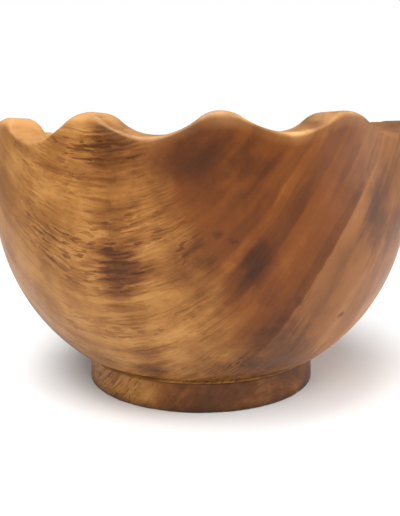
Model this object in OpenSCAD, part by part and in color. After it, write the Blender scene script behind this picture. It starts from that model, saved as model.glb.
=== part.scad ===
// Scalloped wooden bowl on a turned ring foot.
// Origin at the centre of the face it stands on, +Z up, millimetres.

/* [Bowl] */
// Outer diameter across the wall
bowl_d = 176; // [150:2:190]
// Height from the table to the tops of the scallop crests
bowl_h = 115; // [108:1:126]
// Wall thickness at the rim, across the lip
wall = 15; // [9:0.5:17]
// How far from the bowl's axis the outside's arc is centred; more makes a fuller belly
belly = 6; // [1:1:10]
// Thickness of the floor at its centre, above the top of the foot
floor_t = 10; // [7:1:14]
// Radius of the shallow dish in the floor
floor_dish_r = 160; // [130:10:300]

/* [Rim] */
// Number of scallops round the rim
scallops = 12; // [10:1:16]
// Slope of the rim between a crest and a valley, in degrees from level
rim_slope = 38.5; // [30:0.5:44]
// Share of each scallop's width that the narrow crest takes
crest_share = 0.3; // [0.2:0.01:0.4]

/* [Foot] */
// Outer diameter of the ring foot at the table
foot_d = 101.2; // [92:0.4:106]
// Height of the ring foot
foot_h = 12; // [10:1:14]
// Diameter of the hole through the ring foot
foot_bore_d = 74; // [64:1:80]
// How much narrower the foot is at its top, on the radius
foot_taper = 0.3; // [0:0.1:1]
// Rounding of the foot's lower outside corner
foot_round = 1.2; // [0.6:0.1:2]

/* [Joint] */
// Height of the spigot under the bowl that locates the ring foot
spigot_h = 5; // [3:0.5:6]
// Room for glue between the spigot and the foot's hole, on the radius
glue_gap = 0.1; // [0.05:0.05:0.2]
// Broken edge on the foot's side of the seam
seam_chamfer = 0.5; // [0.3:0.1:0.8]

/* [Hidden] */
$fn = 96;

outer_r = bowl_d / 2;
inner_r = outer_r - wall;
foot_r = foot_d / 2;
bore_r = foot_bore_d / 2;
foot_top_r = foot_r - foot_taper;
// The outside is an arc turned about the axis, widest at belly_z and cut off where it is as
// wide as the foot. The hollow's side has the same centre.
outside_arc_r = outer_r - belly;
hollow_arc_r = inner_r - belly;
belly_z = foot_h + sqrt(pow(outside_arc_r, 2) - pow(foot_r - belly, 2));
floor_z = foot_h + floor_t;
// How far a cutter runs beyond what it cuts
past = 20;
// How far two profile pieces run into each other
lap = 1;

// Each scallop is a narrow crest and a wide valley. Both are cones whose points
// lie on the bowl's axis, so the wave keeps its shape right through the wall.
pitch_angle = 360 / scallops;
crest_half_angle = pitch_angle / 2 * crest_share;
// Valleys bite a little into the crests' feet, so that the cones cross cleanly
valley_bite = 0.2;
valley_half_angle = pitch_angle / 2 - crest_half_angle + valley_bite;
// Angle between a cone's own axis and the level, and the cone's half angle
function cone_tilt(half_angle) = atan(sin(half_angle) / tan(rim_slope));
function cone_half(half_angle) = acos(cos(half_angle) * cos(cone_tilt(half_angle)));
crest_rise = outer_r * tan(cone_half(crest_half_angle) - cone_tilt(crest_half_angle));
// Height of the plane in which crests and valleys meet
wave_z = bowl_h - crest_rise;

// A cone along the radius at one azimuth, its point on the bowl's axis
module radial_cone(azimuth, tilt, half_angle) {
    reach = outer_r + past;
    translate([0, 0, wave_z])
        rotate([0, 0, azimuth])
            rotate([0, 90 - tilt, 0])
                cylinder(h = reach, r1 = 0, r2 = reach * tan(half_angle));
}

module valleys() {
    for (i = [0 : scallops - 1])
        radial_cone((i + 0.5) * pitch_angle - 90, cone_tilt(valley_half_angle), cone_half(valley_half_angle));
}

// What is cut away above the wave's plane, leaving the crests
module above_crests() {
    difference() {
        translate([0, 0, wave_z]) cylinder(h = past, r = outer_r + past);
        for (i = [0 : scallops - 1])
            radial_cone(i * pitch_angle - 90, -cone_tilt(crest_half_angle), cone_half(crest_half_angle));
    }
}

// Half sections of the turned bowl before the scallops are carved
module outside_section() {
    intersection() {
        union() {
            translate([belly, belly_z]) circle(r = outside_arc_r);
            translate([0, foot_h]) square([belly + lap, belly_z - foot_h]);
        }
        translate([0, foot_h]) square([outer_r, belly_z - foot_h]);
    }
    translate([0, belly_z - lap]) square([outer_r, bowl_h - belly_z + lap]);
    translate([0, foot_h - spigot_h]) square([bore_r - glue_gap, spigot_h + lap]);
}

module hollow_section() {
    intersection() {
        union() {
            translate([belly, belly_z]) circle(r = hollow_arc_r);
            translate([0, foot_h]) square([belly + lap, belly_z - foot_h]);
            translate([0, belly_z]) square([inner_r, bowl_h - belly_z + past]);
        }
        translate([0, floor_z + floor_dish_r]) circle(r = floor_dish_r);
    }
}

module turned_blank() {
    rotate_extrude()
        difference() {
            outside_section();
            hollow_section();
        }
}

module bowl() {
    color("peru")
        difference() {
            difference() {
                turned_blank();
                above_crests();
            }
            valleys();
        }
}

// Half section of the ring foot, from its hole to its outside
module foot_section() {
    corner = [foot_r - foot_round, foot_round];
    polygon([
        [bore_r, 0],
        for (a = [-90 : 15 : 0]) corner + foot_round * [cos(a), sin(a)],
        [foot_top_r, foot_h - seam_chamfer],
        [foot_top_r - seam_chamfer, foot_h],
        [bore_r, foot_h]
    ]);
}

module foot_ring() {
    color("saddlebrown") rotate_extrude() foot_section();
}

bowl();
foot_ring();
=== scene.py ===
# Carved wooden bowl with a scalloped rim, standing on a turned ring foot.
# Everything is in metres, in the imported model's own frame, +Z up. Texture lengths are in millimetres.
import math

import bpy
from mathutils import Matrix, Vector, noise


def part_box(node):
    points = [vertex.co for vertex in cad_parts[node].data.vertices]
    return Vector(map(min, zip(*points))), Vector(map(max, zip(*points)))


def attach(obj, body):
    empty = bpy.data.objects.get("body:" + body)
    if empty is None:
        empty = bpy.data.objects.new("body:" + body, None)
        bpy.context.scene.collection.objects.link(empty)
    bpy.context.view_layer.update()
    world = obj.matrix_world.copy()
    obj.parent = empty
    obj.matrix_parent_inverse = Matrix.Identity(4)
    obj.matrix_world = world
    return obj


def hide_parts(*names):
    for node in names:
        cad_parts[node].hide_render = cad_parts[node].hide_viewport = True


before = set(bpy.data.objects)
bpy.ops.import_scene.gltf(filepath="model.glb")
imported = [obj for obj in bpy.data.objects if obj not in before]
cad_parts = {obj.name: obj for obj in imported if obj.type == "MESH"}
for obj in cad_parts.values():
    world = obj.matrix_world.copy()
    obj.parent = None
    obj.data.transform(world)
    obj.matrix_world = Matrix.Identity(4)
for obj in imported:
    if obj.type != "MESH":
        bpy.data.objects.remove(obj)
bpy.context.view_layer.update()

MM = 0.001

# ---------------------------------------------------------------- sizes
BOWL_LOW, BOWL_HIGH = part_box("bowl")
FOOT_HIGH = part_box("foot_ring")[1]
OUTER_R = BOWL_HIGH[0]
BOWL_TOP = BOWL_HIGH[2]
SPIGOT_Z = BOWL_LOW[2]
FOOT_R = FOOT_HIGH[0]
FOOT_H = FOOT_HIGH[2]

WALL = 15 * MM
INNER_R = OUTER_R - WALL
# The outside is an arc centred this far from the axis. The hollow's side has the same centre.
BELLY = 6 * MM
OUTSIDE_ARC_R = OUTER_R - BELLY
HOLLOW_ARC_R = INNER_R - BELLY
BELLY_Z = FOOT_H + math.sqrt(OUTSIDE_ARC_R**2 - (FOOT_R - BELLY) ** 2)
FLOOR_Z = FOOT_H + 10 * MM
FLOOR_DISH_R = 160 * MM
# How softly the dished floor runs into the side of the hollow
FLOOR_BLEND = 1.5 * MM
# The hollow's arc is followed this far down, and the blended floor takes over within FLOOR_SETTLE
HOLLOW_ARC_END = math.radians(35)
FLOOR_SETTLE = 4 * MM
# Radius at which the floor's last ring of points closes on the axis
FLOOR_MIDDLE_R = 1.5 * MM

# The ring foot and the spigot that it is glued over
BORE_R = 37 * MM
BORE_CHAMFER = 0.8 * MM
FOOT_TAPER = 0.3 * MM
FOOT_ROUND = 1.2 * MM
FOOT_TOP_ROUND = 0.5 * MM
SPIGOT_R = BORE_R - 0.1 * MM
SPIGOT_CHAMFER = 0.5 * MM
# Nicks in the foot's lower edge: how many noise cells fit in a radius, the noise level that a nick
# starts at, and how much it rounds the edge for each unit of noise above that
NICKS = ((11, 0.25, 1.6 * MM), (31, 0.30, 1.0 * MM))

# A thin bead low on the bowl's outside, with a crease above it that a cove opens out
# UNDERSIDE_R is where the bowl's flat underside ends, and BEAD_END the bead's last angle in degrees.
UNDERSIDE_R = FOOT_R - 0.70 * MM
BEAD_ROUND = 0.55 * MM
BEAD_CENTRE_R = FOOT_R - 0.65 * MM
BEAD_END = 80
CREASE_Z = FOOT_H + 1.5 * MM
CREASE_DEPTH = 0.9 * MM
COVE_TOP = FOOT_H + 4.0 * MM

# Scallops, going round from the front at -Y towards +X: a narrow crest and a wide valley.
# The carver spaced and cut them by eye, so each has its own place (degrees from even spacing),
# crest height and height of the valley after it (mm above the table).
CREST_ASIDE = (0.0, 0.5, 6.0, 3.0, 2.0, -0.5, 0.0, 6.0, 7.0, 2.0, -0.7, 0.0)
CREST_TOPS = (114.3, 114.9, 113.2, 114.0, 112.6, 110.8, 112.0, 112.3, 109.2, 113.8, 113.6, 114.3)
VALLEY_TOPS = (107.5, 107.2, 106.6, 104.8, 105.2, 105.0, 105.4, 104.8, 105.6, 107.2, 104.7, 106.2)
# How much further round a crest's inner side lies than its outer side, in degrees
CREST_LEAN = (0.0, -4.0, 0.0, 1.0, -1.0, 0.0, 1.0, 0.0, -1.0, 0.0, 0.0, 2.0)
SCALLOPS = len(CREST_TOPS)
PITCH = 2 * math.pi / SCALLOPS
# Share of each scallop's width that the crest takes
CREST_SHARE = 0.29
# How far a crest's arc and a valley's turn from level before they meet
ARC_TURN = math.radians(44)
# The cut surface follows lines that all meet on the bowl's axis at this height
LIP_LINES_Z = 112 * MM

# Rounding of the lip's outer edge in mm, on each crest, half way down and in the valleys
CREST_ROUNDS = (3.0, 2.4, 3.0, 3.6, 3.0, 3.4, 3.2, 3.0, 3.4, 4.0, 4.4, 5.0)
FLANK_ROUND = 1.2
VALLEY_ROUND = 2.0
LIP_INNER_ROUND = 5.0 * MM
# How much the lip is polished paler on each crest, in the valley after it and half way between the two.
# The same values also paint a highlight on the lip, brightest on the front crest.
CREST_POLISH_AND_HIGHLIGHT = (1.6, 0.9, 0.9, 1.0, 1.1, 0.9, 1.0, 0.9, 1.0, 1.1, 0.9, 1.0)
VALLEY_POLISH_AND_HIGHLIGHT = (1.2, 0.6, 0.7, 0.5, 0.8, 0.6, 0.7, 0.5, 0.8, 0.7, 0.75, 0.6)
FLANK_POLISH_AND_HIGHLIGHT = 0.5
# Shares of that polishing and painted highlight on the lip's own parts, and how far they reach down the
# bowl's two sides
EDGE_SHARE = 0.25
TOP_SHARE = 0.8
INNER_ROUND_SHARE = 0.9
INNER_SIDE_SHARE = 0.4
OUTSIDE_REACH = 3 * MM
INSIDE_REACH = 5 * MM
# How many degrees round the outer edge the polishing and painted highlight grow over
POLISH_AND_HIGHLIGHT_GROWS = 55
# Wear on the bead and on the foot's upper edge
SEAM_WEAR = 0.1

# Hand finish: shallow waves left by scraping and sanding, as (wavelength, share of the depth)
FINISH_WAVES = ((34 * MM, 0.7), (11 * MM, 0.3))
FINISH_DEPTH = 0.30 * MM
# The finish starts above the seam, and fades out towards the axis
FINISH_FROM_Z = FOOT_H + 0.3 * MM
FINISH_FROM_R = 12 * MM

# Sections round each mesh, and the angle from which an edge is shaded sharp
COLUMNS = 360
SHARP_ANGLE = math.radians(50)
# Mesh attribute for edges polished paler, which also holds the lip's painted highlight
WEAR_AND_HIGHLIGHT_ATTRIBUTE = "edge_wear_and_highlight"


# ---------------------------------------------------------------- sections
def spread(first, last, count):
    """count values from just after first up to last, evenly spaced."""
    return [first + (last - first) * (i + 1) / count for i in range(count)]


def arc(centre, radius, start, end, count):
    """Points on an arc in the section plane, angles in degrees, without its first point."""
    points = []
    for angle in spread(start, end, count):
        turn = math.radians(angle)
        points.append((centre[0] + radius * math.cos(turn), centre[1] + radius * math.sin(turn)))
    return points


def smooth(t):
    """0 to 1 as t goes from 0 to 1, level at both ends."""
    t = min(max(t, 0), 1)
    return t * t * (3 - 2 * t)


def mixed(a, b, t):
    return a + (b - a) * t


def rounding_fall(radius, into):
    """How far an arc of that radius has fallen from level at a distance into it."""
    return radius - math.sqrt(max(radius**2 - into**2, 0))


def crest_angle(i, r):
    """Where a crest lies at a radius across the lip."""
    inward = (OUTER_R - r) / WALL
    aside = CREST_ASIDE[i % SCALLOPS] + CREST_LEAN[i % SCALLOPS] * inward
    return i * PITCH - math.pi / 2 + math.radians(aside)


def scallop_shape(across):
    """1 on a crest and 0 in a valley, where across runs from 0 to 1 between them: two arcs that meet."""
    both_radii = 1 / math.sin(ARC_TURN)
    both_heights = both_radii * (1 - math.cos(ARC_TURN))
    if across < CREST_SHARE:
        return 1 - rounding_fall(CREST_SHARE * both_radii, across) / both_heights
    return rounding_fall((1 - CREST_SHARE) * both_radii, 1 - across) / both_heights


def scallop(turn, r):
    """Which scallop a point of the lip is in, and what share of the way it is to the next crest.
    The radius counts because the crests lean."""
    i = math.floor((turn + math.pi / 2) / PITCH + 0.5)
    if turn < crest_angle(i, r):
        i -= 1
    if turn >= crest_angle(i + 1, r):
        i += 1
    share = (turn - crest_angle(i, r)) / (crest_angle(i + 1, r) - crest_angle(i, r))
    return i % SCALLOPS, share


def between_crests(values, i, share):
    """A crest's own value, run smoothly on to the next crest's."""
    return mixed(values[i], values[(i + 1) % SCALLOPS], smooth(share))


def by_flank(valley, flank, crest, share):
    """A value that runs smoothly from a crest down its flank to the valley, share from 0 to 1
    being the way from crest to crest."""
    near = abs(2 * share - 1)
    if near > 0.5:
        return mixed(flank, crest, smooth(2 * near - 1))
    return mixed(valley, flank, smooth(2 * near))


def rim_z(turn, r):
    """Height that the rim has at the bowl's outside, before its edges are rounded."""
    i, share = scallop(turn, r)
    crest = between_crests(CREST_TOPS, i, share)
    return mixed(VALLEY_TOPS[i], crest, scallop_shape(1 - abs(2 * share - 1))) * MM


def lip_outer_round(turn):
    i, share = scallop(turn, OUTER_R)
    return by_flank(VALLEY_ROUND, FLANK_ROUND, between_crests(CREST_ROUNDS, i, share), share) * MM


# The lip's polishing and painted highlight at an azimuth
def lip_polish_and_highlight(turn):
    i, share = scallop(turn, OUTER_R)
    return by_flank(VALLEY_POLISH_AND_HIGHLIGHT[i], FLANK_POLISH_AND_HIGHLIGHT, between_crests(CREST_POLISH_AND_HIGHLIGHT, i, share), share)


def lip_z(turn, r):
    """Height of the lip, with both its edges rounded."""
    outer_round = lip_outer_round(turn)
    fall = rounding_fall(outer_round, max(r - (OUTER_R - outer_round), 0))
    fall += rounding_fall(LIP_INNER_ROUND, max(INNER_R + LIP_INNER_ROUND - r, 0))
    return mixed(LIP_LINES_Z, rim_z(turn, r), r / OUTER_R) - fall


def outside_arc_r(z):
    return BELLY + math.sqrt(OUTSIDE_ARC_R**2 - (BELLY_Z - z) ** 2)


def outside_r(z):
    """Radius of the bowl's outside at a height above the crease."""
    if z >= BELLY_Z:
        return OUTER_R
    r = outside_arc_r(z)
    if z < COVE_TOP:
        open_share = (COVE_TOP - z) / (COVE_TOP - CREASE_Z)
        r -= (outside_arc_r(CREASE_Z) - FOOT_R + CREASE_DEPTH) * open_share**2
    return r


def hollow_side_z(r):
    return BELLY_Z - math.sqrt(HOLLOW_ARC_R**2 - max(r - BELLY, 0) ** 2)


def hollow_z(r):
    """Height of the hollow's surface: its side and its dished floor, blended."""
    side = hollow_side_z(r)
    floor_z = FLOOR_Z + FLOOR_DISH_R - math.sqrt(FLOOR_DISH_R**2 - r**2)
    higher = max(side, floor_z)
    apart = abs(side - floor_z)
    return higher + FLOOR_BLEND * math.log(1 + math.exp(-apart / FLOOR_BLEND))


# A section's points are (r, z, edge paleness), where edge paleness is about 1 where hands and cloth
# polish an edge, and on the lip also holds a painted highlight
def underside():
    """From under the bowl's middle, out and up round its spigot, and out to the bead."""
    points = [(r, SPIGOT_Z, 0) for r in spread(0, SPIGOT_R - SPIGOT_CHAMFER, 8)]
    points += [(SPIGOT_R, SPIGOT_Z + SPIGOT_CHAMFER, 0)]
    points += [(SPIGOT_R, z, 0) for z in spread(SPIGOT_Z + SPIGOT_CHAMFER, FOOT_H, 3)]
    points += [(r, FOOT_H, 0) for r in spread(SPIGOT_R, UNDERSIDE_R, 5)]
    return points


def outside():
    """Round the bead and up the bowl's outside to its widest place."""
    bead = arc((BEAD_CENTRE_R, FOOT_H + BEAD_ROUND), BEAD_ROUND, -90, BEAD_END, 6)
    points = [(r, z, SEAM_WEAR) for r, z in bead]
    points += [(outside_r(z), z, 0) for z in spread(CREASE_Z, COVE_TOP, 6)]
    start = math.asin((COVE_TOP - BELLY_Z) / OUTSIDE_ARC_R)
    for angle in spread(start, 0, 46):
        r = BELLY + OUTSIDE_ARC_R * math.cos(angle)
        points.append((r, BELLY_Z + OUTSIDE_ARC_R * math.sin(angle), 0))
    return points


def lip(turn):
    """Up the last of the outside, over the lip and down to the top of the hollow's arc."""
    # Each point's third value is the lip's polishing with its painted highlight
    polish_and_highlight = lip_polish_and_highlight(turn)
    outer_round = lip_outer_round(turn)
    outer_z = lip_z(turn, OUTER_R)
    inner_z = lip_z(turn, INNER_R)
    points = []
    for z in spread(BELLY_Z, outer_z, 9):
        share = EDGE_SHARE * smooth((z - outer_z + OUTSIDE_REACH) / OUTSIDE_REACH)
        points.append((OUTER_R, z, share * polish_and_highlight))
    for angle in spread(0, 90, 9):
        r = OUTER_R - outer_round * (1 - math.cos(math.radians(angle)))
        share = mixed(EDGE_SHARE, 1, smooth(angle / POLISH_AND_HIGHLIGHT_GROWS))
        points.append((r, lip_z(turn, r), share * polish_and_highlight))
    for r in spread(OUTER_R - outer_round, INNER_R + LIP_INNER_ROUND, 6):
        points.append((r, lip_z(turn, r), TOP_SHARE * polish_and_highlight))
    for angle in spread(90, 0, 7):
        r = INNER_R + LIP_INNER_ROUND * (1 - math.cos(math.radians(angle)))
        points.append((r, lip_z(turn, r), INNER_ROUND_SHARE * polish_and_highlight))
    for z in spread(inner_z, BELLY_Z, 7):
        share = INNER_SIDE_SHARE * smooth((z - inner_z + INSIDE_REACH) / INSIDE_REACH)
        points.append((INNER_R, z, share * polish_and_highlight))
    return points


def hollow():
    """Down the hollow's side and over its floor to near the middle."""
    points = []
    for angle in spread(0, HOLLOW_ARC_END, 16):
        r = BELLY + HOLLOW_ARC_R * math.cos(angle)
        points.append((r, BELLY_Z - HOLLOW_ARC_R * math.sin(angle), 0))
    arc_end_r = points[-1][0]
    for r in spread(arc_end_r, FLOOR_MIDDLE_R, 40):
        settled = smooth((arc_end_r - r) / FLOOR_SETTLE)
        points.append((r, mixed(hollow_side_z(r), hollow_z(r), settled), 0))
    return points


def bowl_section(turn):
    """The bowl's half section at one azimuth, from under its middle round the lip to its floor."""
    return underside() + outside() + lip(turn) + hollow()


def foot_section(turn):
    """The ring foot's closed half section at one azimuth, its lower edge nicked by use."""
    place = Vector((math.cos(turn), math.sin(turn), 0.3))
    edge = FOOT_ROUND
    for often, level, growth in NICKS:
        edge += max(noise.noise(place * often) - level, 0) * growth
    top_r = FOOT_R - FOOT_TAPER
    top_corner = (top_r - FOOT_TOP_ROUND, FOOT_H - FOOT_TOP_ROUND)
    points = [(r, 0, 0) for r in spread(BORE_R + BORE_CHAMFER, FOOT_R - edge, 9)]
    points += [(r, z, 0) for r, z in arc((FOOT_R - edge, edge), edge, -90, 0, 7)]
    for z in spread(edge, FOOT_H - FOOT_TOP_ROUND, 8):
        points.append((FOOT_R - FOOT_TAPER * z / FOOT_H, z, 0))
    points += [(r, z, SEAM_WEAR) for r, z in arc(top_corner, FOOT_TOP_ROUND, 0, 90, 4)]
    points += [(r, FOOT_H, 0) for r in spread(top_r - FOOT_TOP_ROUND, BORE_R, 5)]
    points += [(BORE_R, z, 0) for z in spread(FOOT_H, BORE_CHAMFER, 6)]
    points += [(BORE_R + BORE_CHAMFER, 0, 0)]
    return points


# ---------------------------------------------------------------- meshes
def hand_finish(point, depth):
    """How far below the true surface the finish's waves put a point, from 0 to about depth."""
    return depth * sum(share * (noise.noise(point / wave) * 0.5 + 0.5) for wave, share in FINISH_WAVES)


def placed(r, z, turn):
    return Vector((r * math.cos(turn), r * math.sin(turn), z))


def finished_point(row, k, turn, depth):
    """One point of a section, sunk into the wood by the hand finish. The seam stays true."""
    r, z, _ = row[k]
    if z < FINISH_FROM_Z:
        return placed(r, z, turn)
    before = row[k - 1]
    after = row[(k + 1) % len(row)]
    along = Vector((after[0] - before[0], after[1] - before[1]))
    inward = Vector((-along.y, along.x)).normalized()
    sink = hand_finish(placed(r, z, turn), depth) * smooth(r / FINISH_FROM_R)
    return placed(r + inward.x * sink, z + inward.y * sink, turn)


def neighbours(count):
    """Each section and the next one round, as the numbers of their first points when sections
    have count points."""
    return [(c * count, (c + 1) % COLUMNS * count) for c in range(COLUMNS)]


def wall_faces(count, closed):
    """Faces between neighbouring sections. In a closed section the last point meets the first."""
    faces = []
    for here, there in neighbours(count):
        for k in range(count if closed else count - 1):
            up = (k + 1) % count
            faces.append((here + k, there + k, there + up, here + up))
    return faces


def cap_faces(count, k, middle, upward):
    """A fan from the sections' points k to a middle point on the axis, facing up or down."""
    faces = []
    for here, there in neighbours(count):
        edge = (here + k, there + k) if upward else (there + k, here + k)
        faces.append((middle, *edge))
    return faces


def turned_mesh(name, section, closed, depth):
    """A mesh from a section that may change with azimuth. An open section begins and ends at the axis."""
    turns = [2 * math.pi * c / COLUMNS for c in range(COLUMNS)]
    rows = [section(turn) for turn in turns]
    count = len(rows[0])
    vertices = []
    wear_and_highlight = []
    for turn, row in zip(turns, rows):
        for k in range(count):
            vertices.append(finished_point(row, k, turn, depth))
            wear_and_highlight.append(row[k][2])
    faces = wall_faces(count, closed)
    if not closed:
        for k, upward in ((0, False), (count - 1, True)):
            faces += cap_faces(count, k, len(vertices), upward)
            vertices.append((0, 0, sum(row[k][1] for row in rows) / COLUMNS))
            wear_and_highlight.append(0)
    mesh = bpy.data.meshes.new(name)
    mesh.from_pydata(vertices, [], faces)
    mesh.attributes.new(WEAR_AND_HIGHLIGHT_ATTRIBUTE, "FLOAT", "POINT").data.foreach_set("value", wear_and_highlight)
    mesh.shade_smooth()
    mesh.set_sharp_from_angle(angle=SHARP_ANGLE)
    mesh.update()
    piece = bpy.data.objects.new(name, mesh)
    bpy.context.scene.collection.objects.link(piece)
    return piece


# ---------------------------------------------------------------- shader values
class Value:
    """A number, vector or colour that a node tree works out. Arithmetic on it adds math nodes."""

    def __init__(self, graph, socket):
        self.graph = graph
        self.socket = socket

    def __add__(self, other):
        return self.graph.math("ADD", self, other)

    def __sub__(self, other):
        return self.graph.math("SUBTRACT", self, other)

    def __rsub__(self, other):
        return self.graph.math("SUBTRACT", other, self)

    def __mul__(self, other):
        return self.graph.math("MULTIPLY", self, other)

    def __truediv__(self, other):
        return self.graph.math("DIVIDE", self, other)


class Graph:
    """Adds nodes to a material or a world. Each call but node and feed returns a Value."""

    def __init__(self, owner):
        owner.use_nodes = True
        self.tree = owner.node_tree

    def node(self, kind, inputs=(), **settings):
        node = self.tree.nodes.new(kind)
        for key, value in settings.items():
            setattr(node, key, value)
        for key, value in dict(inputs).items():
            self.feed(node.inputs[key], value)
        return node

    def feed(self, socket, value):
        if isinstance(value, Value):
            self.tree.links.new(value.socket, socket)
        else:
            socket.default_value = value

    def value(self, output, kind, inputs=(), **settings):
        """One output of a new node."""
        return Value(self, self.node(kind, inputs, **settings).outputs[output])

    def math(self, operation, *values):
        return self.value(0, "ShaderNodeMath", dict(enumerate(values)), operation=operation)

    def dot(self, a, b):
        inputs = {0: a, 1: tuple(b)}
        return self.value("Value", "ShaderNodeVectorMath", inputs, operation="DOT_PRODUCT")

    def vector(self, operation, a, b):
        return self.value("Vector", "ShaderNodeVectorMath", {0: a, 1: b}, operation=operation)

    def scaled(self, vector, factor):
        inputs = {0: vector, "Scale": factor}
        return self.value("Vector", "ShaderNodeVectorMath", inputs, operation="SCALE")

    def length(self, vector):
        return self.value("Value", "ShaderNodeVectorMath", {0: vector}, operation="LENGTH")

    def step(self, value, low, high, to_low=0.0, to_high=1.0):
        """value from low to high, made to run smoothly from to_low to to_high."""
        inputs = {"Value": value, "From Min": low, "From Max": high, "To Min": to_low, "To Max": to_high}
        return self.value("Result", "ShaderNodeMapRange", inputs, interpolation_type="SMOOTHSTEP")

    def noise(self, vector, detail=2.0, roughness=0.5, layer=None, output="Fac"):
        """Noise with cells of one unit. layer is a fourth coordinate, such as a growth layer's."""
        inputs = {"Vector": vector, "Scale": 1.0, "Detail": detail, "Roughness": roughness}
        if layer is not None:
            inputs["W"] = layer
        dimensions = "3D" if layer is None else "4D"
        return self.value(output, "ShaderNodeTexNoise", inputs, noise_dimensions=dimensions)

    def wandering(self, vector, cell, reach):
        """vector pushed about by up to reach, in waves of one cell."""
        push = self.noise(self.scaled(vector, 1 / cell), detail=1.0, output="Color")
        push = self.vector("SUBTRACT", push, (0.5, 0.5, 0.5))
        return self.vector("ADD", vector, self.scaled(push, reach * 2))

    def blend(self, factor, a, b):
        inputs = {0: factor, 6: a, 7: b}
        return self.value(2, "ShaderNodeMix", inputs, data_type="RGBA", clamp_factor=True)

    def ramp(self, value, stops):
        """The colour that (position, colour) stops give, run straight between them."""
        node = self.node("ShaderNodeValToRGB", {"Fac": value})
        node.color_ramp.interpolation = "LINEAR"
        elements = node.color_ramp.elements
        while len(elements) < len(stops):
            elements.new(1.0)
        for element, (position, colour) in zip(elements, stops):
            element.position = position
            element.color = colour
        return Value(self, node.outputs["Color"])


def linear(red, green, blue):
    """A display colour, 0 to 255, as a shader colour."""
    values = []
    for level in (red, green, blue):
        share = level / 255
        values.append(share / 12.92 if share <= 0.04045 else ((share + 0.055) / 1.055) ** 2.4)
    return (*values, 1.0)


def grey(level):
    return (level, level, level, 1.0)


def direction(azimuth, elevation):
    """A unit vector. Azimuth 0 points at -Y, the front, and 90 at +X."""
    a = math.radians(azimuth)
    e = math.radians(elevation)
    return Vector((math.sin(a) * math.cos(e), -math.cos(a) * math.cos(e), math.sin(e)))


# ---------------------------------------------------------------- wood
# Growth layers: distance along the log's radius in mm, and how pale the wood is there.
# The golden side of the log and its red side have layers of their own. All these values were set
# to follow the bands that the photographed bowl shows, averaged over about 5 mm of layers.
LAYERS_FROM = -120.0
LAYERS_TO = 160.0
GOLDEN_LAYERS = (
    (-120, 0.55), (-104, 0.62), (-97, 0.60), (-92, 0.52), (-88, 0.64), (-83, 0.70), (-76, 0.69),
    (-71, 0.60), (-67, 0.62), (-61, 0.56), (-56, 0.58), (-51, 0.70), (-46, 0.76), (-41, 0.72),
    (-34, 0.82), (-28, 0.76), (-21, 0.66), (-14, 0.60), (0, 0.58), (30, 0.66), (70, 0.54), (160, 0.60),
)
RED_LAYERS = (
    (-120, 0.52), (-104, 0.54), (-97, 0.46), (-86, 0.40), (-81, 0.50), (-76, 0.44), (-72, 0.60),
    (-66, 0.62), (-62, 0.50), (-48.5, 0.54), (-47.5, 0.70), (-43, 0.66), (-41.5, 0.48), (-34, 0.40),
    (-31, 0.42), (-30, 0.52), (-22, 0.60), (-15, 0.52), (-5, 0.47), (1.5, 0.47), (2.5, 0.61), (9, 0.57),
    (16, 0.44), (24, 0.45), (31, 0.48), (40, 0.59), (48, 0.61), (56, 0.54), (64, 0.63), (72, 0.65),
    (84, 0.78), (160, 0.80),
)
# How coarse the figure is in each layer
COARSE_LAYERS = (
    (-120, 0.8), (-104, 0.9), (-93, 0.6), (-86, 0.9), (-74, 0.8), (-68, 1.0), (-60, 1.0), (-55, 0.35),
    (-46, 0.30), (-40, 0.65), (-33, 0.40), (-24, 0.45), (-13, 0.80), (30, 1.0), (160, 0.9),
)
# How dark the radial band is in each layer
BAND_LAYERS = (
    (-120, 0.7), (-108, 0.95), (-101, 1.00), (-97, 0.85), (-94, 0.65), (-92, 0.30), (-91, 0.80),
    (-90, 0.30), (-85, 0.25), (-83, 0.70), (-80, 0.45), (-76, 0.70), (-73, 0.60), (-71, 0.30),
    (-68, 0.95), (-56, 1.00), (-52, 0.50), (-48, 0.15), (-43, 0.20), (-37, 0.32), (-30, 0.34),
    (-24, 0.35), (-19, 0.65), (0, 0.3), (40, 0.6), (160, 0.3),
)

# Display colours from dark to pale tones
GOLDEN = ((0.0, (70, 38, 15)), (0.30, (103, 61, 26)), (0.60, (133, 87, 41)), (1.0, (170, 122, 66)))
REDDISH = ((0.0, (54, 28, 13)), (0.30, (80, 42, 17)), (0.60, (106, 58, 22)), (1.0, (144, 90, 37)))
DULLER = ((0.0, (70, 43, 27)), (0.30, (99, 61, 35)), (0.60, (131, 84, 46)), (1.0, (182, 124, 74)))
KNOT_COLOUR = linear(66, 34, 18)
# Pale colour of polished edges, which also paints the lip's highlight
RUBBED_AND_HIGHLIGHT_COLOUR = linear(220, 170, 112)
# Painted shade for the foot's lower edge, by the table
LOW_SHADE_COLOUR = linear(46, 34, 27)


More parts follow.
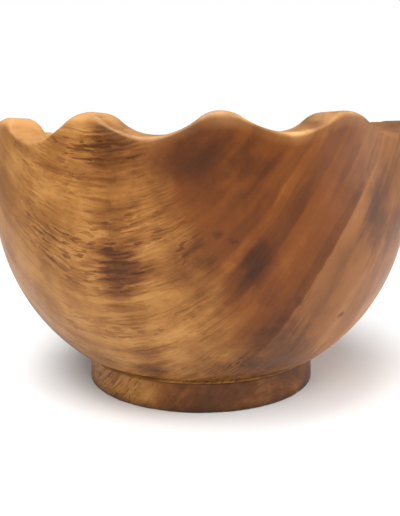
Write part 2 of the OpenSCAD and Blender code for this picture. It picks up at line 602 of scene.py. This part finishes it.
class Wood(Graph):
    """A solid wood: the same log runs through the piece, so every cut shows its own grain.
    The steps are called in the order that they are written in."""

    def __init__(self, name):
        self.material = bpy.data.materials.new(name)
        super().__init__(self.material)
        # Paleness of polished edges, with the lip's painted highlight
        self.wear_and_highlight = self.value("Fac", "ShaderNodeAttribute", attribute_name=WEAR_AND_HIGHLIGHT_ATTRIBUTE)

    def cut_from_log(self, azimuth, beside, bow):
        """Where each point lies in the log, in mm. The log lay level, its length along azimuth,
        with the lowest line of its growth layers beside the origin by that many mm. The layers are
        bowed across the log to a radius of bow."""
        origin = self.value("Object", "ShaderNodeTexCoord")
        self.place = self.scaled(origin, 1 / MM)
        self.across = self.dot(self.place, direction(azimuth + 90, 0)) - beside
        self.height = self.dot(self.place, (0, 0, 1))
        along = self.dot(self.place, direction(azimuth, 0))
        inputs = {0: self.across, 1: along, 2: self.height}
        straight = self.value(0, "ShaderNodeCombineXYZ", inputs)
        self.bent = self.wandering(self.wandering(straight, 34.0, 1.8), 6.0, 0.55)
        x = self.dot(self.bent, (1, 0, 0))
        self.layer = x * x * (0.5 / bow) - self.dot(self.bent, (0, 0, 1))

    def grain(self, cell, detail=2.0, roughness=0.5, thickness=None):
        """Noise in the log with cells of that many mm. A thickness in mm draws it out along growth
        layers of that thickness."""
        layer = None if thickness is None else self.layer / thickness
        return self.noise(self.scaled(self.bent, 1 / cell), detail, roughness, layer)

    def by_layer(self, layers):
        """The value that (layer, value) pairs give to a point's growth layer."""
        span = LAYERS_TO - LAYERS_FROM
        stops = [((at - LAYERS_FROM) / span, grey(level)) for at, level in layers]
        return self.ramp((self.layer - LAYERS_FROM) / span, stops)

    def zones(self, red_from, dull_from, dull_layer=None):
        """Across the log (mm) the wood is golden with a coarse grain, then red from red_from and
        dull from dull_from. The red side is also dull beyond growth layer dull_layer. The borders
        are uneven."""
        border = self.grain(22, detail=3.0) * 22.0 - 11.0
        leaning = self.height * 0.45 + border + self.across
        self.red = self.step(leaning, red_from - 10, red_from + 10)
        self.dull = self.step(self.across + border, dull_from - 9, dull_from + 9)
        if dull_layer is not None:
            beyond = self.step(self.layer, dull_layer - 1.5, dull_layer + 1.5) * self.red
            self.dull = self.math("MAXIMUM", self.dull, beyond)
        patchy = self.step(self.grain(16), 0.38, 0.60, 0.30, 1.15)
        patchy *= self.by_layer(COARSE_LAYERS)
        patchy *= self.step(self.across, -38.0, -18.0, 0.35, 1.0)
        # Edges polished smooth by handling show less of the figure, and so does the lip under its painted
        # highlight
        self.figure = self.step(self.wear_and_highlight, 0.1, 0.5, 1.0, 0.3)
        self.coarse = (1.0 - self.red) * patchy * self.figure

    def growth(self, paler=0.0):
        """Broad growth layers, then streaks that follow them, and a soft mottle."""
        self.tone = self.blend(self.red, self.by_layer(GOLDEN_LAYERS), self.by_layer(RED_LAYERS))
        self.streaks = self.grain(46, roughness=0.6, thickness=4.2)
        wide_streaks = self.grain(60, detail=1.0, thickness=13.0)
        soft = self.step(self.streaks, 0.30, 0.70, -0.09, 0.09)
        crisp = self.step(wide_streaks, 0.46, 0.54, -0.055, 0.055)
        self.tone += self.blend(self.red, soft, crisp)
        self.cloud = self.grain(13, detail=4.0, roughness=0.6)
        mottle = self.step(self.cloud, 0.3, 0.7, -1.0, 1.0)
        self.tone += mottle * (self.red * -0.06 + 0.12) + paler

    def marks(self, arc_depth=0.36, pore_depth=0.26, pore_gap=1.1):
        """Fine lines, and where the grain is coarse short dark arcs with paler sides and open
        pores about pore_gap mm apart."""
        self.lines = self.grain(11, detail=1.0, thickness=1.0)
        line_depth = self.coarse * (arc_depth * 0.4) + 0.02
        self.tone += self.step(self.lines, 0.34, 0.60, -1.0, 0.5) * line_depth
        arcs = self.grain(5.5, detail=1.0, thickness=1.0)
        self.tone += self.step(arcs, 0.42, 0.52, 0.0, 0.12) * self.coarse
        self.arcs = self.step(arcs, 0.53, 0.61) * self.coarse
        self.tone -= self.arcs * arc_depth
        tubes = self.vector("MULTIPLY", self.bent, (1 / pore_gap, 1 / 5.0, 1 / pore_gap))
        inputs = {"Vector": tubes, "Scale": 1.0}
        gap = self.value("Distance", "ShaderNodeTexVoronoi", inputs, feature="F1")
        zones = self.step(self.grain(9), 0.46, 0.62) * (self.coarse * 0.85 + 0.15)
        self.pores = self.step(gap, 0.14, 0.30, 1.0, 0.0) * zones
        self.tone -= self.pores * pore_depth

    def fray(self):
        """An uneven shift in mm that frays the sides of dark places along the layers."""
        return self.lines * 6.0 + self.streaks * 18.0 - 12.0

    def band(self, beside):
        """A dark radial band that lies beside the log's middle by that many mm, and leans aside
        low down."""
        centre = self.step(self.height, 32.0, 56.0, beside + 8.5, beside)
        aside = self.math("ABSOLUTE", self.across - centre)
        near = self.step(aside + self.fray(), 1.0, 10.0, 1.0, 0.0)
        self.tone -= near * self.by_layer(BAND_LAYERS) * self.figure * 0.52

    def patches(self, patches):
        """Single darker places, or paler ones where the strength is below 0:
        (across, height, half width, half height, strength)."""
        frayed = self.across + self.fray()
        uneven = self.cloud * 1.6 - 0.8
        for beside, middle, half_width, half_height, strength in patches:
            x = (frayed - beside) / half_width
            y = (self.height - middle) / half_height
            reach = self.math("SQRT", x * x + y * y) + uneven
            self.tone -= self.step(reach, 0.0, 1.6, strength, 0.0)

    def colours(self):
        """The tone turned into each zone's own colours."""
        shades = []
        for stops in (GOLDEN, REDDISH, DULLER):
            shades.append(self.ramp(self.tone, [(at, linear(*shade)) for at, shade in stops]))
        self.colour = self.blend(self.red, shades[0], shades[1])
        self.colour = self.blend(self.dull, self.colour, shades[2])

    def knots(self, knots):
        """Small dark knots on the outside: (azimuth, height, radius)."""
        place = self.wandering(self.place, 1.8, 1.3)
        for azimuth, height, radius in knots:
            spot = direction(azimuth, 0) * (outside_r(height * MM) / MM)
            spot.z = height
            gap = self.length(self.vector("SUBTRACT", place, tuple(spot)))
            dark = self.step(gap, 0.0, radius * 2.0, 0.75, 0.0)
            self.colour = self.blend(dark, self.colour, KNOT_COLOUR)

    def worn_and_highlit_edges(self):
        """Edges polished paler by handling, less so on the dull side. On the lip the same pale colour is
        also a painted highlight.
        """
        uneven = self.step(self.noise(self.scaled(self.place, 1 / 9), detail=3.0), 0.35, 0.65, 0.45, 1.0)
        self.rubbed_and_highlight = self.wear_and_highlight * uneven * (self.dull * -0.7 + 1.0)
        self.colour = self.blend(self.rubbed_and_highlight * 0.60, self.colour, RUBBED_AND_HIGHLIGHT_COLOUR)

    def painted_low_shade(self, reach):
        """Painted shade low down, darker towards the table up to about that many mm above it."""
        uneven = self.noise(self.scaled(self.place, 1 / 12), detail=3.0) * reach - reach * 0.5
        low = self.step(self.height + uneven, 0.2, reach, 1.0, 0.0)
        self.colour = self.blend(low * 0.7, self.colour, LOW_SHADE_COLOUR)

    def surface(self):
        """Roughness, relief and the satin of oiled wood."""
        rough = self.noise(self.scaled(self.place, 1 / 14), detail=3.0) * 0.20 + 0.32
        rough = rough + self.pores * 0.20 - self.rubbed_and_highlight * 0.08
        relief = self.pores * -0.9 + self.arcs * -0.5 + self.lines * 0.5
        inputs = {"Height": relief, "Strength": 0.5, "Distance": 0.00015}
        bump = self.value("Normal", "ShaderNodeBump", inputs)
        shader = self.tree.nodes["Principled BSDF"]
        self.feed(shader.inputs["Base Color"], self.colour)
        self.feed(shader.inputs["Roughness"], rough)
        self.feed(shader.inputs["Normal"], bump)
        shader.inputs["Specular IOR Level"].default_value = 0.11
        shader.inputs["Coat Weight"].default_value = 0.04
        shader.inputs["Coat Roughness"].default_value = 0.25


# ---------------------------------------------------------------- pieces
bowl_wood = Wood("bowl_wood")
bowl_wood.cut_from_log(azimuth=-6.5, beside=-28.4, bow=41.0)
bowl_wood.zones(red_from=61.0, dull_from=86.0, dull_layer=2.0)
bowl_wood.growth()
bowl_wood.marks()
bowl_wood.band(4.5)
bowl_wood.patches((
    (34, 99, 12, 9, 0.24), (51, 63, 6, 12, 0.22), (62, 47, 5, 9, 0.16), (93, 81, 6, 12, 0.30),
    (51, 92, 7, 14, 0.14), (104, 58, 8, 16, 0.18), (107, 101, 5, 7, -0.22), (86, 98, 5, 9, 0.18),
    (60, 28, 11, 14, 0.34), (103, 78, 4, 10, 0.24), (104, 113, 9, 5, 0.40), (68, 113, 5, 5, 0.34),
    (14, 88, 8, 12, 0.20), (32, 58, 8, 16, 0.30), (45, 76, 9, 15, 0.16), (46, 21, 11, 9, 0.32),
    (-34, 28, 18, 16, 0.12), (88, 22, 16, 13, -0.22),
))
bowl_wood.colours()
bowl_wood.knots(((-0.5, 76, 1.3), (3.0, 73.5, 1.2), (20.0, 51, 1.4), (37.0, 42, 1.1)))
# Paler polished edges, and a painted highlight on the lip
bowl_wood.worn_and_highlit_edges()
bowl_wood.surface()

foot_wood = Wood("foot_wood")
foot_wood.cut_from_log(azimuth=-58.0, beside=-20.0, bow=30.0)
foot_wood.zones(red_from=52.0, dull_from=54.0)
foot_wood.growth(paler=0.17)
foot_wood.marks(arc_depth=0.30, pore_depth=0.80, pore_gap=1.4)
foot_wood.patches(((84, 6, 26, 14, 0.30), (63, 6, 11, 20, 0.42)))
foot_wood.colours()
foot_wood.worn_and_highlit_edges()
# Painted shade where the foot meets the table
foot_wood.painted_low_shade(4.5)
foot_wood.surface()

bowl = turned_mesh("carved_bowl", bowl_section, closed=False, depth=FINISH_DEPTH)
bowl.data.materials.append(bowl_wood.material)
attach(bowl, "root")
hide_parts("bowl")

foot = turned_mesh("turned_foot", foot_section, closed=True, depth=0.0)
foot.data.materials.append(foot_wood.material)
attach(foot, "root")
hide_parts("foot_ring")

# ---------------------------------------------------------------- floor, light and camera
# Half the floor's width
FLOOR_HALF = 3.0
floor_mesh = bpy.data.meshes.new("floor")
floor_corners = [(x * FLOOR_HALF, y * FLOOR_HALF, 0) for x, y in ((-1, -1), (1, -1), (1, 1), (-1, 1))]
floor_mesh.from_pydata(floor_corners, [], [(0, 1, 2, 3)])
floor = bpy.data.objects.new("floor", floor_mesh)
bpy.context.scene.collection.objects.link(floor)
floor_paint = bpy.data.materials.new("floor_paint")
floor_paint.use_nodes = True
floor_shader = floor_paint.node_tree.nodes["Principled BSDF"]
floor_shader.inputs["Base Color"].default_value = grey(0.82)
floor_shader.inputs["Roughness"].default_value = 0.9
floor_shader.inputs["Specular IOR Level"].default_value = 0.1
floor.data.materials.append(floor_paint)

LIGHT_DISTANCE = 0.9
LIGHT_SIZE = 0.7


def soft_light(name, azimuth, elevation, power):
    """A square soft light aimed at the bowl's middle."""
    lamp = bpy.data.lights.new(name, "AREA")
    lamp.shape = "SQUARE"
    lamp.size = LIGHT_SIZE
    lamp.energy = power
    light = bpy.data.objects.new(name, lamp)
    target = Vector((0, 0, BOWL_TOP / 2))
    light.location = target + direction(azimuth, elevation) * LIGHT_DISTANCE
    light.rotation_euler = (target - light.location).to_track_quat("-Z", "Y").to_euler()
    bpy.context.scene.collection.objects.link(light)


soft_light("key", -14, 42, 8.5)
soft_light("fill", 75, 18, 5.8)
soft_light("top", -50, 76, 10.0)

# The camera sees a white background. The room's own light is dim, and a little less so behind.
ROOM_FRONT = 0.22
ROOM_BACK = 0.25
world = bpy.data.worlds.new("studio")
bpy.context.scene.world = world
sky = Graph(world)
room = world.node_tree.nodes["Background"]
room.inputs["Color"].default_value = grey(1.0)
backward = sky.dot(sky.value("Generated", "ShaderNodeTexCoord"), (0.0, 1.0, 0.0))
strength = sky.step(backward, -0.4, 0.8, ROOM_FRONT, ROOM_BACK)
seen = sky.value("Is Camera Ray", "ShaderNodeLightPath")
sky.feed(room.inputs["Strength"], sky.math("MAXIMUM", strength, seen))

# The photograph's view, fitted to the bowl's outline
CAMERA_LENS = 45.3
CAMERA_AZIMUTH = -3.95
CAMERA_DISTANCE = 3.295 * OUTER_R
CAMERA_HEIGHT = 1.179 * OUTER_R
CAMERA_PITCH = 9.94
# How many degrees left of the bowl's axis the camera looks
CAMERA_ASIDE = 0.09
camera_data = bpy.data.cameras.new("camera")
camera_data.lens = CAMERA_LENS
camera = bpy.data.objects.new("camera", camera_data)
camera.location = direction(CAMERA_AZIMUTH, 0) * CAMERA_DISTANCE + Vector((0, 0, CAMERA_HEIGHT))
camera.rotation_euler = (math.radians(90 - CAMERA_PITCH), 0, math.radians(CAMERA_AZIMUTH + CAMERA_ASIDE))
bpy.context.scene.collection.objects.link(camera)
bpy.context.scene.camera = camera
bpy.context.scene.view_settings.view_transform = "Standard"
